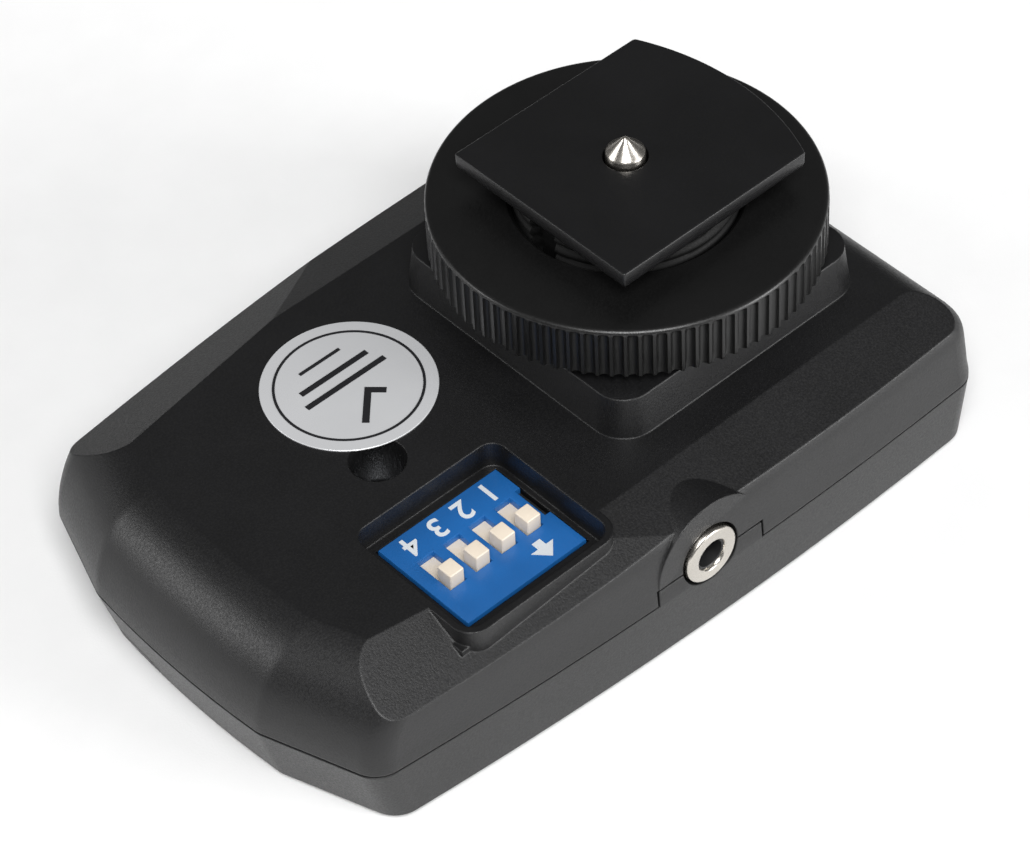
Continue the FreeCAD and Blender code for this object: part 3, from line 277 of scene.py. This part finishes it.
def piece(name, points, faces, material, body, instead_of=(), sharp=30.0):
    """A mesh piece from points in millimetres; edges sharper than the angle stay crisp."""
    mesh = bpy.data.meshes.new(name)
    mesh.from_pydata([[v * MM for v in p] for p in points], [], faces)
    return settle(name, mesh, material, body, instead_of, sharp)


def settle(name, mesh, material, body, instead_of=(), sharp=30.0):
    """Cleans a mesh in metres, shades it, gives it a finish and seats it on its body."""
    tool = bmesh.new()
    tool.from_mesh(mesh)
    bmesh.ops.remove_doubles(tool, verts=tool.verts, dist=1e-7)
    bmesh.ops.recalc_face_normals(tool, faces=tool.faces)
    for face in tool.faces:
        face.smooth = True
    for edge in tool.edges:
        edge.smooth = edge.calc_face_angle(0.0) < math.radians(sharp)
    tool.to_mesh(mesh)
    tool.free()
    made = bpy.data.objects.new(name, mesh)
    bpy.context.scene.collection.objects.link(made)
    mesh.materials.clear()
    mesh.materials.append(material)
    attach(made, body)
    if instead_of:
        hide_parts(*instead_of)
    print(name, len(mesh.polygons), "faces on", body)
    return made


def turned(profile, centre, steps=96, axis="Z", closed=True):
    """Points and faces of a profile of (radius, height) swept round an axis through centre."""
    points, faces = [], []
    for k in range(steps):
        angle = math.tau * k / steps
        for radius, height in profile:
            across = radius * math.cos(angle), radius * math.sin(angle)
            local = (across[0], across[1], height) if axis == "Z" else (
                across[0], height, across[1])
            points.append([c + v for c, v in zip(centre, local)])
    count = len(profile)
    for k in range(steps):
        here, there = k * count, (k + 1) % steps * count
        for j in range(count if closed else count - 1):
            following = (j + 1) % count
            faces.append((here + j, there + j, there + following, here + following))
    return points, faces


def rounded_corner(corner, before, after, radius, steps=4):
    """Points that round one corner of a profile between its two neighbours."""
    corner, before, after = Vector(corner), Vector(before), Vector(after)
    to_before = (before - corner).normalized()
    to_after = (after - corner).normalized()
    start, end = corner + to_before * radius, corner + to_after * radius
    return [tuple(start.lerp(corner, t).lerp(corner.lerp(end, t), t))
            for t in (k / steps for k in range(steps + 1))]


# %% [markdown]
# ## Lock ring
# The ring is moulded in black ABS and grips by ninety round-bottomed flutes. A boolean of ninety
# cutters would leave slivers; instead the outside is a grid of angles and heights whose radius is
# the smaller of the blank's and the flute's. The arches where the flutes die into the rim's bevel
# then come by themselves, as they do when a real cutter runs out through a chamfer.

# %% Shape the lock ring
POST_X = 14.5
RING_RADIUS, RING_LOW, RING_HIGH = 15.4, 18.9, 23.6
RING_BORE, WASHER_RECESS, RECESS_DEPTH = 8.9, 12.08, 0.65
FLUTES, FLUTE_RADIUS, FLUTE_DEPTH = 90, 0.42, 0.42
RIM_BEVEL, FOOT_BEVEL = 0.5, 0.25
FLUTE_END, FLUTE_RUNOUT = RING_HIGH - 0.35, 0.5

blank = [(RING_BORE, RING_LOW + RECESS_DEPTH), (WASHER_RECESS, RING_LOW + RECESS_DEPTH),
         (WASHER_RECESS, RING_LOW), (RING_RADIUS - FOOT_BEVEL - 0.4, RING_LOW)]
blank += rounded_corner((RING_RADIUS, RING_LOW), (RING_RADIUS - 1, RING_LOW),
                        (RING_RADIUS, RING_HIGH), FOOT_BEVEL)
blank += [(RING_RADIUS, RING_LOW + 0.9 + 0.75 * k) for k in range(4)]
blank += [(RING_RADIUS, FLUTE_END - FLUTE_RUNOUT * k / 5) for k in range(5, 1, -1)]
blank += rounded_corner((RING_RADIUS, RING_HIGH), (RING_RADIUS, RING_LOW),
                        (RING_RADIUS - 1, RING_HIGH), RIM_BEVEL, steps=9)
blank += [(RING_RADIUS - 1.2, RING_HIGH), (RING_BORE + 0.3, RING_HIGH),
          (RING_BORE, RING_HIGH - 0.3)]

flute_centre = RING_RADIUS + FLUTE_RADIUS - FLUTE_DEPTH
half_flute = math.sqrt(FLUTE_RADIUS ** 2 - (flute_centre - RING_RADIUS) ** 2)
flute_pitch = math.tau * RING_RADIUS / FLUTES
across_flute = [-1.0, -0.88, -0.62, -0.3, 0.0, 0.3, 0.62, 0.88, 1.0]
offsets = [half_flute * t for t in across_flute] + [flute_pitch / 2]

ring_points, ring_faces = [], []
for flute in range(FLUTES):
    for offset in offsets:
        angle = (flute * flute_pitch + offset) / RING_RADIUS
        inside = FLUTE_RADIUS ** 2 - offset ** 2
        limit = flute_centre - math.sqrt(inside) if abs(offset) <= half_flute else 99.0
        for radius, height in blank:
            # The cutter lifts out along a quarter circle just below the rim.
            above = min(1.0, max(0.0, 1 - (FLUTE_END - height) / FLUTE_RUNOUT))
            bottom = limit + FLUTE_DEPTH * (1 - math.sqrt(1 - above ** 2))
            r = min(radius, bottom) if radius > RING_RADIUS - 1 else radius
            ring_points.append((POST_X + r * math.cos(angle), r * math.sin(angle), height))
rows, count = FLUTES * len(offsets), len(blank)
for k in range(rows):
    here, there = k * count, (k + 1) % rows * count
    for j in range(count):
        following = (j + 1) % count
        ring_faces.append((here + j, there + j, there + following, here + following))
piece("lock_ring_fluted", ring_points, ring_faces, ring_abs, "ring", ["lock_ring"])

# %% [markdown]
# ## Shoe foot
# The foot slides into a camera's accessory shoe. It is moulded in glass-filled nylon: a thin plate
# with a bowed front edge, on a post whose coarse thread carries the lock ring. The plate is its
# outline stacked at a few heights with small insets, which rounds its rims; the thread is a
# cylinder whose radius rises and falls along a helix.

# %% Shape the shoe plate
PLATE_BACK, PLATE_FRONT, PLATE_HALF, PLATE_BULGE = -9.0, 9.8, 9.3, 2.1
PLATE_LOW, PLATE_TOP, PIN_HOLE = 25.5, 27.1, 1.75


def bowed_outline(steps=28, corner=0.25):
    """The plate's outline, anticlockwise from its back corner."""
    bow = (PLATE_HALF ** 2 + PLATE_BULGE ** 2) / (2 * PLATE_BULGE)
    middle = PLATE_FRONT + PLATE_BULGE - bow
    reach = math.asin(PLATE_HALF / bow)
    front = [(middle + bow * math.cos(a), bow * math.sin(a))
             for a in (reach * (2 * k / steps - 1) for k in range(steps + 1))]
    low, high = (PLATE_BACK, -PLATE_HALF), (PLATE_BACK, PLATE_HALF)
    line = rounded_corner(low, high, front[0], corner)
    line += rounded_corner(front[0], low, front[1], corner)
    line += front[1:-1]
    line += rounded_corner(front[-1], front[-2], high, corner)
    return line + rounded_corner(high, front[-1], low, corner)


def inset(line, distance):
    """The closed outline moved inwards."""
    moved = []
    for k, here in enumerate(line):
        before, after = Vector(line[k - 1]), Vector(line[(k + 1) % len(line)])
        here = Vector(here)
        first, second = (here - before).normalized(), (after - here).normalized()
        inward = Vector((-first.y - second.y, first.x + second.x))
        scale = 2.0 / max(inward.length_squared, 0.5)
        moved.append(tuple(here + inward * distance * scale))
    return moved


def stacked(line, levels, centre):
    """Points and side faces of an outline stacked at (inset, height) levels."""
    points, faces, count = [], [], len(line)
    for distance, height in levels:
        points += [(centre[0] + x, centre[1] + y, height) for x, y in inset(line, distance)]
    for level in range(len(levels) - 1):
        for k in range(count):
            a, b = level * count + k, level * count + (k + 1) % count
            faces.append((a, b, b + count, a + count))
    return points, faces


plate_levels = [(0.6, PLATE_LOW), (0.5, PLATE_LOW), (0.28, PLATE_LOW + 0.08),
                (0.09, PLATE_LOW + 0.26), (0.0, PLATE_LOW + 0.55), (0.0, PLATE_TOP - 0.14),
                (0.03, PLATE_TOP - 0.05), (0.13, PLATE_TOP), (0.23, PLATE_TOP)]
plate_line = bowed_outline()
plate_points, plate_faces = stacked(plate_line, plate_levels, (POST_X, 0))
mesh = bpy.data.meshes.new("shoe_plate")
tool = bmesh.new()
corners = [tool.verts.new([v * MM for v in p]) for p in plate_points]
for face in plate_faces:
    tool.faces.new([corners[k] for k in face])
count = len(plate_line)
hole_steps = 48
hole = []
for height in (PLATE_TOP, PLATE_TOP - 0.06, PLATE_LOW):
    radius = PIN_HOLE + (0.06 if height == PLATE_TOP else 0.0)
    hole.append([tool.verts.new(((POST_X + radius * math.cos(a)) * MM, radius * math.sin(a) * MM,
                                 height * MM))
                 for a in (math.tau * k / hole_steps for k in range(hole_steps))])
for upper, lower in zip(hole, hole[1:]):
    for k in range(hole_steps):
        after = (k + 1) % hole_steps
        tool.faces.new((upper[k], upper[after], lower[after], lower[k]))
for outer, inner in ((corners[-count:], hole[0]), (corners[:count], hole[-1])):
    rim = [tool.edges.get((ring[k], ring[(k + 1) % len(ring)])) for ring in (outer, inner)
           for k in range(len(ring))]
    bmesh.ops.triangle_fill(tool, edges=rim, use_beauty=True)
tool.to_mesh(mesh)
tool.free()
settle("shoe_plate", mesh, foot_nylon, "case", ["shoe_foot"])

# %% Cut the thread on the post
POST_RADIUS, POST_LOW, THREAD_PITCH, THREAD_DEPTH = 8.8, 17.8, 1.0, 0.25
KEY_HALF, KEY_DEPTH = 1.2, 0.9
around, up = 120, 64
post_points, post_faces = [], []
for j in range(up + 1):
    height = POST_LOW + (PLATE_LOW - POST_LOW) * j / up
    for k in range(around):
        angle = math.tau * k / around
        phase = (height / THREAD_PITCH - k / around) % 1.0
        radius = POST_RADIUS - THREAD_DEPTH * min(1.0, max(0.0, 2.6 * abs(phase - 0.5) - 0.25))
        if math.cos(angle) < 0 and abs(radius * math.sin(angle)) < KEY_HALF:
            radius = min(radius, (POST_RADIUS - KEY_DEPTH) / -math.cos(angle))
        post_points.append((POST_X + radius * math.cos(angle), radius * math.sin(angle), height))
for j in range(up):
    for k in range(around):
        a, b = j * around + k, j * around + (k + 1) % around
        post_faces.append((a, b, b + around, a + around))
# The thread wears the darkened copy of the foot's nylon: painted shade under the plate.
piece("threaded_post", post_points, post_faces, shaded_thread_nylon, "case", sharp=50)

# %% [markdown]
# ## Contact pin
# The pin is turned from brass and nickel plated, then polished, so it shows bright bands and hard
# darks. Its profile is a blunt cone over a short land, a shank, and the flange the spring pushes
# on.

# %% Turn the contact pin
PIN_RADIUS, PIN_SHOULDER, PIN_TIP, FLANGE_RADIUS = 1.55, 27.6, 29.0, 2.2
low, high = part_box("contact_pin")
pin_foot = low.z / MM
FLANGE_LOW = 22.1
pin_profile = [(0.0, pin_foot), (1.0, pin_foot), (1.1, pin_foot + 0.1), (1.1, FLANGE_LOW),
               (FLANGE_RADIUS, FLANGE_LOW), (FLANGE_RADIUS, FLANGE_LOW + 0.7),
               (PIN_RADIUS, FLANGE_LOW + 0.7), (PIN_RADIUS, PIN_SHOULDER - 0.08),
               (PIN_RADIUS - 0.03, PIN_SHOULDER), (PIN_RADIUS - 0.12, PIN_SHOULDER + 0.1),
               (0.4, PIN_TIP - 0.32), (0.26, PIN_TIP - 0.14), (0.1, PIN_TIP - 0.03), (0.0, PIN_TIP)]
points, faces = turned(pin_profile, (POST_X, 0, 0), 64, closed=False)
piece("hot_shoe_pin", points, faces, nickel, "pin", ["contact_pin"], sharp=30)
print("pin foot at", round(pin_foot, 2), "mm")

# %% [markdown]
# ## Switch bank
# A four-way channel switch: a blue cover with four slots, and a cream slider in each. The cover
# is a slotted plate, so it is made of cells, and a narrow bevel catches the light along its
# edges.

# %% Make the slotted cover
COVER_LOW, COVER_TOP = 11.4, 12.0
COVER_X, COVER_Y = (-16.85, -5.15), (-16.0, -6.1)
SLOT_FRONT, SLOT_LENGTH, SLOT_HALF = -12.7, 3.7, 0.8
NOTCH_X, NOTCH_Y = -5.65, (-12.1, -8.8)
CHANNEL_X = [-7.19, -9.73, -12.27, -14.81]


def slotted_plate(name, xs, ys, is_open, span, bevel, material, body, instead_of=()):
    """A plate from a grid of cells, without the open ones, its edges bevelled."""
    tool = bmesh.new()
    verts = {(i, j): tool.verts.new((x * MM, y * MM, span[1] * MM))
             for i, x in enumerate(xs) for j, y in enumerate(ys)}
    for i in range(len(xs) - 1):
        for j in range(len(ys) - 1):
            middle = (xs[i] + xs[i + 1]) / 2, (ys[j] + ys[j + 1]) / 2
            if not is_open(*middle):
                tool.faces.new([verts[i, j], verts[i + 1, j], verts[i + 1, j + 1],
                                verts[i, j + 1]])
    bmesh.ops.delete(tool, geom=[v for v in tool.verts if not v.link_faces], context="VERTS")
    grown = bmesh.ops.extrude_face_region(tool, geom=tool.faces[:])
    low = [v for v in grown["geom"] if isinstance(v, bmesh.types.BMVert)]
    bmesh.ops.translate(tool, verts=low, vec=(0, 0, (span[0] - span[1]) * MM))
    bmesh.ops.recalc_face_normals(tool, faces=tool.faces)
    rim = [e for e in tool.edges if e.calc_face_angle(0) > 1
           and all(v.co.z > (span[1] - 0.01) * MM for v in e.verts)]
    bmesh.ops.bevel(tool, geom=rim, offset=bevel * MM, segments=2, affect="EDGES", profile=0.5)
    mesh = bpy.data.meshes.new(name)
    tool.to_mesh(mesh)
    tool.free()
    return settle(name, mesh, material, body, instead_of)


def is_slot(x, y):
    """True inside a slider's slot or the cover's side notch."""
    in_slot = any(abs(x - c) < SLOT_HALF for c in CHANNEL_X) and (
        SLOT_FRONT < y < SLOT_FRONT + SLOT_LENGTH)
    return in_slot or (x > NOTCH_X and NOTCH_Y[0] < y < NOTCH_Y[1])


slot_edges = [c + side * SLOT_HALF for c in CHANNEL_X for side in (-1, 1)]
slotted_plate("switch_cover", sorted([*COVER_X, NOTCH_X, *slot_edges]),
              sorted([*COVER_Y, SLOT_FRONT, SLOT_FRONT + SLOT_LENGTH, *NOTCH_Y]), is_slot,
              (COVER_LOW, COVER_TOP), 0.07, switch_blue, "case", ["dip_cover"])

# %% [markdown]
# ## Sliders
# Each slider is one moulding: a flat base that runs under the cover, and a knob that a fingernail
# pushes. Two bevelled blocks are enough for it, because its corners are moulded soft.

# %% Mould the sliders
KNOB_HALF, KNOB_FRONT, KNOB_LENGTH, KNOB_TOP = 0.675, -12.65, 1.5, 13.25
BASE_HALF, BASE_LOW, BASE_TOP = 0.95, 10.5, 11.38


def block(tool, low, high, bevel, segments=3):
    """A bevelled block between two corners, in millimetres, added to the tool."""
    grown = bmesh.ops.create_cube(tool, size=1.0)
    size = [(b - a) * MM for a, b in zip(low, high)]
    middle = [(a + b) / 2 * MM for a, b in zip(low, high)]
    bmesh.ops.scale(tool, vec=size, verts=grown["verts"])
    bmesh.ops.translate(tool, vec=middle, verts=grown["verts"])
    edges = list({e for v in grown["verts"] for e in v.link_edges})
    bmesh.ops.bevel(tool, geom=edges, offset=bevel * MM, segments=segments, affect="EDGES",
                    profile=0.6)


for channel, middle in enumerate(CHANNEL_X, start=1):
    low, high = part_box(f"dip_slider_{channel}")
    tool = bmesh.new()
    block(tool, (middle - BASE_HALF, low.y / MM, BASE_LOW),
          (middle + BASE_HALF, high.y / MM, BASE_TOP), 0.06)
    block(tool, (middle - KNOB_HALF, KNOB_FRONT, BASE_TOP - 0.3),
          (middle + KNOB_HALF, KNOB_FRONT + KNOB_LENGTH, KNOB_TOP), 0.16)
    mesh = bpy.data.meshes.new(f"slider_{channel}")
    tool.to_mesh(mesh)
    tool.free()
    settle(f"slider_{channel}_moulded", mesh, slider_cream, f"channel_{channel}",
           [f"dip_slider_{channel}"])

# %% [markdown]
# ## Printing
# White ink on the blue cover numbers the four channels and points to the "on" side with an arrow.
# The ink is a layer, so it is a mesh a few hundredths of a millimetre thick on the plastic.

# %% Print the cover
white_ink = finish("screen_printed_white_ink", "#d3d8dc", 0.55, shade=0.03, grain_mm=0.08)
INK = 0.03


def inked(name, outline_points, faces, height, material):
    """A flat shape in ink, standing INK above a height, with closed sides."""
    count = len(outline_points)
    points = [(x, y, height) for x, y in outline_points]
    points += [(x, y, height + INK) for x, y in outline_points]
    sides = {}
    for face in faces:
        for a, b in zip(face, face[1:] + face[:1]):
            sides[(a, b)] = (b, a) not in sides
            if (b, a) in sides:
                sides.pop((a, b)), sides.pop((b, a))
    walls = [(a, b, b + count, a + count) for a, b in sides]
    caps = [tuple(k + count for k in face) for face in faces] + [tuple(reversed(f)) for f in faces]
    return piece(name, points, caps + walls, material, "case")


def printed_digit(text, x, y, size):
    """A numeral lying on the cover, its top towards -Y."""
    curve = bpy.data.curves.new("digit", "FONT")
    curve.body = text
    curve.size = size * MM
    curve.align_x, curve.align_y = "CENTER", "CENTER"
    curve.extrude = INK / 2 * MM
    curve.offset = 0.04 * MM
    curve.resolution_u = 6
    shape = bpy.data.objects.new("digit", curve)
    mesh = bpy.data.meshes.new_from_object(shape)
    bpy.data.objects.remove(shape)
    turn = Matrix.Rotation(math.pi, 4, "Z")
    mesh.transform(Matrix.Translation(Vector((x, y, COVER_TOP + INK / 2)) * MM) @ turn)
    settle("printed_" + text, mesh, white_ink, "case")


for channel, middle in enumerate(CHANNEL_X, start=1):
    printed_digit(str(channel), middle, -7.4, 2.7)

ARROW = [(-8.4, -13.6), (-8.4, -14.3), (-9.1, -14.3), (-8.0, -15.5), (-6.9, -14.3),
         (-7.6, -14.3), (-7.6, -13.6)]
inked("printed_arrow", ARROW, [[0, 1, 5, 6], [2, 3, 4, 5, 1]], COVER_TOP, white_ink)

# %% [markdown]
# ## Seal sticker
# A disc of matt silver foil is stuck over the edge of the screw well, so that opening the case
# tears it. It carries a thin black ring and, in place of words, a tick and three bars.

# %% Stick on the seal
black_ink = finish("screen_printed_black_ink", "#17171a", 0.5, shade=0.03, grain_mm=0.08)
SEAL = (-8.6, 6.5)
SEAL_RADIUS, SEAL_LOW, SEAL_TOP, RING_SHARE = 6.85, 14.2, 14.3, 0.84
seal_profile = [(0.0, SEAL_LOW), (SEAL_RADIUS, SEAL_LOW), (SEAL_RADIUS, SEAL_TOP - 0.03),
                (SEAL_RADIUS - 0.04, SEAL_TOP), (SEAL_RADIUS * 0.6, SEAL_TOP), (0.0, SEAL_TOP)]
points, faces = turned(seal_profile, (SEAL[0], SEAL[1], 0), 128, closed=False)
piece("foil_seal", points, faces, silver_foil, "case", ["seal_sticker"])


def seal_point(along, across):
    """A place on the seal, along its print's reading direction and up its page."""
    return SEAL[0] - along, SEAL[1] - across


circle_steps = 128
ring_line = [seal_point(r * math.cos(a), r * math.sin(a))
             for r in (SEAL_RADIUS * RING_SHARE + 0.11, SEAL_RADIUS * RING_SHARE - 0.11)
             for a in (math.tau * k / circle_steps for k in range(circle_steps))]
inked("seal_ring_line", ring_line,
      [[k, (k + 1) % circle_steps, (k + 1) % circle_steps + circle_steps, k + circle_steps]
       for k in range(circle_steps)], SEAL_TOP, black_ink)
tick = [(-1.9, 2.2), (-0.7, 1.0), (1.9, 3.7), (1.5, 4.1), (-0.7, 1.8), (-1.5, 2.6)]
inked("seal_tick", [seal_point(*p) for p in tick], [[0, 1, 4, 5], [1, 2, 3, 4]], SEAL_TOP,
      black_ink)
for bar, (reach, across, thick) in enumerate([(3.9, -0.6, 0.5), (3.3, -2.0, 0.5),
                                              (2.0, -3.6, 0.3)], start=1):
    corners = [(-reach, across), (reach, across), (reach, across + thick),
               (-reach, across + thick)]
    inked(f"seal_bar_{bar}", [seal_point(*p) for p in corners], [[0, 1, 2, 3]], SEAL_TOP,
          black_ink)

# %% [markdown]
# ## Sync socket
# The socket's bush is turned and nickel plated. Its face is a flat ring with a broken outer edge
# and a small countersink into the bore, which is what makes it read as machined.

# %% Turn the socket bush
JACK = (2.6, 0, 8.4)
BUSH_FACE, BUSH_END, BUSH_RADIUS, BUSH_BORE = -21.4, -18.4, 2.5, 1.35
LINER_BORE, LINER_FACE = 1.2, BUSH_FACE + 0.25
bush_profile = [(BUSH_BORE, BUSH_END), (BUSH_BORE, BUSH_FACE + 0.18),
                (BUSH_BORE + 0.12, BUSH_FACE + 0.02), (BUSH_BORE + 0.16, BUSH_FACE),
                (BUSH_RADIUS - 0.3, BUSH_FACE), (BUSH_RADIUS - 0.16, BUSH_FACE + 0.03),
                (BUSH_RADIUS - 0.04, BUSH_FACE + 0.12), (BUSH_RADIUS, BUSH_FACE + 0.26),
                (BUSH_RADIUS, BUSH_END)]
points, faces = turned(bush_profile, JACK, 96, axis="Y")
piece("socket_bush", points, faces, nickel, "case", ["jack_bush"], sharp=40)
liner_profile = [(LINER_BORE, BUSH_END), (LINER_BORE, LINER_FACE + 0.05),
                 (LINER_BORE + 0.05, LINER_FACE), (BUSH_BORE - 0.01, LINER_FACE),
                 (BUSH_BORE - 0.01, BUSH_END)]
points, faces = turned(liner_profile, JACK, 64, axis="Y")
piece("socket_liner", points, faces, switch_black, "case", sharp=40)
